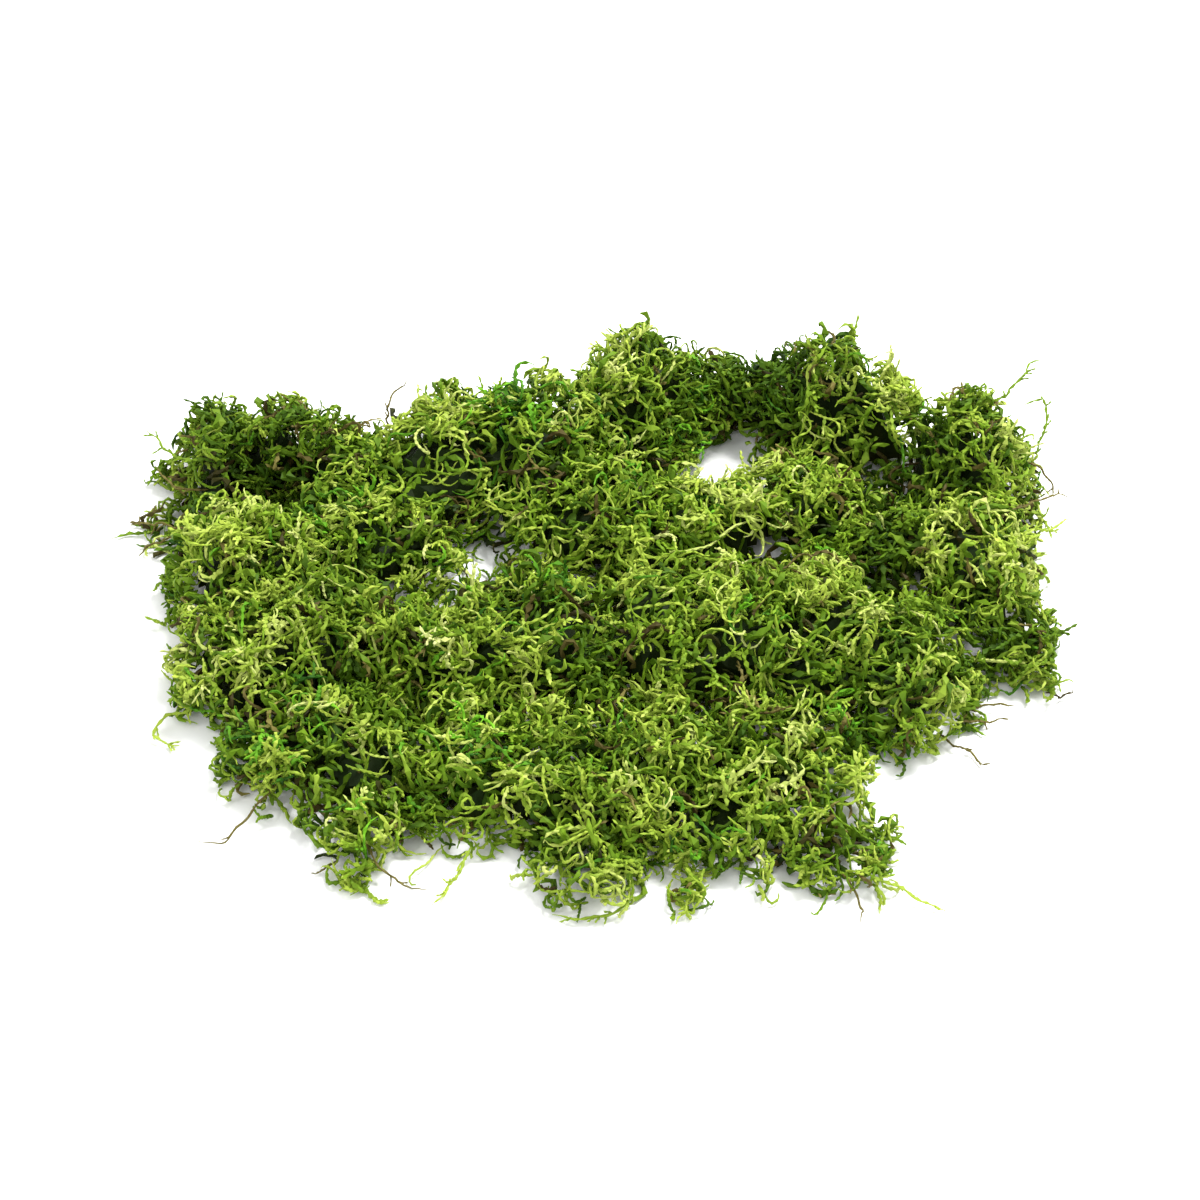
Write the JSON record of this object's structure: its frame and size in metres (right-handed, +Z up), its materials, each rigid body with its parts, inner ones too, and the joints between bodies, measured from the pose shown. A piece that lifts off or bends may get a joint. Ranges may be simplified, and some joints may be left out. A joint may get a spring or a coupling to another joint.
{
  "type": "moss clump",
  "caption": "Flat, loosely tangled clump of dried sheet moss, torn into tufts, with a higher back rim, see-through gaps and stray shoots.",
  "frame": {"origin": "on the flat underside, below the middle of the whole box", "axes": "+X along the clump's length, +Y from its thin front rim to its high back rim, +Z up out of the moss"},
  "size_m": [0.2852, 0.2362, 0.0385],
  "materials": {
    "moss_green": "dried moss shoots, mid green, matt",
    "moss_lime": "dried moss shoots, pale yellow-green young tips, matt",
    "moss_emerald": "dried moss shoots, deep emerald green, matt",
    "moss_olive": "dried moss shoots, dark olive green with brown old growth, matt",
    "moss_stem": "bare or half-bare stray moss stems, brown-green, matt"
  },
  "bodies": {
    "root": {"shoot_back_stem": "moss_stem", "shoot_bay_back": "moss_stem", "shoot_bay_front": "moss_stem", "shoot_bay_middle": "moss_stem", "shoot_front_fork": "moss_lime", "shoot_front_hook": "moss_lime", "shoot_front_left_arc": "moss_stem", "shoot_front_left_stem": "moss_stem", "shoot_front_loop": "moss_green", "shoot_front_right_curl": "moss_lime", "shoot_front_right_prong": "moss_stem", "shoot_left_bent": "moss_stem", "shoot_left_curl": "moss_lime", "shoot_left_dark": "moss_stem", "shoot_left_leafy": "moss_olive", "shoot_left_stick": "moss_stem", "shoot_right_drop": "moss_stem", "shoot_right_high_sprig": "moss_olive", "shoot_right_long": "moss_lime", "shoot_right_sprig": "moss_olive", "shoot_right_tip": "moss_stem", "tuft_back_behind_hole": "moss_olive", "tuft_back_centre_left": "moss_green", "tuft_back_emerald": "moss_emerald", "tuft_back_left": "moss_olive", "tuft_back_left_horn": "moss_olive", "tuft_back_left_saddle": "moss_green", "tuft_back_peak": "moss_green", "tuft_back_right": "moss_olive", "tuft_back_right_horn": "moss_green", "tuft_back_right_saddle": "moss_olive", "tuft_back_right_shoulder": "moss_green", "tuft_before_hole": "moss_lime", "tuft_between_holes": "moss_lime", "tuft_front_centre": "moss_green", "tuft_front_centre_left": "moss_lime", "tuft_front_centre_right": "moss_green", "tuft_front_left": "moss_green", "tuft_front_left_lobe": "moss_emerald", "tuft_front_right": "moss_lime", "tuft_front_right_corner": "moss_green", "tuft_left_flank": "moss_green", "tuft_left_front": "moss_olive", "tuft_left_inner": "moss_green", "tuft_left_lime": "moss_lime", "tuft_left_of_hole": "moss_lime", "tuft_middle": "moss_green", "tuft_middle_back": "moss_green", "tuft_middle_left": "moss_green", "tuft_middle_right": "moss_green", "tuft_right_back": "moss_lime", "tuft_right_edge": "moss_lime", "tuft_right_flank": "moss_emerald", "tuft_right_hollow": "moss_olive", "tuft_right_inner": "moss_green", "tuft_right_lobe": "moss_olive"}
  },
  "joints": []
}
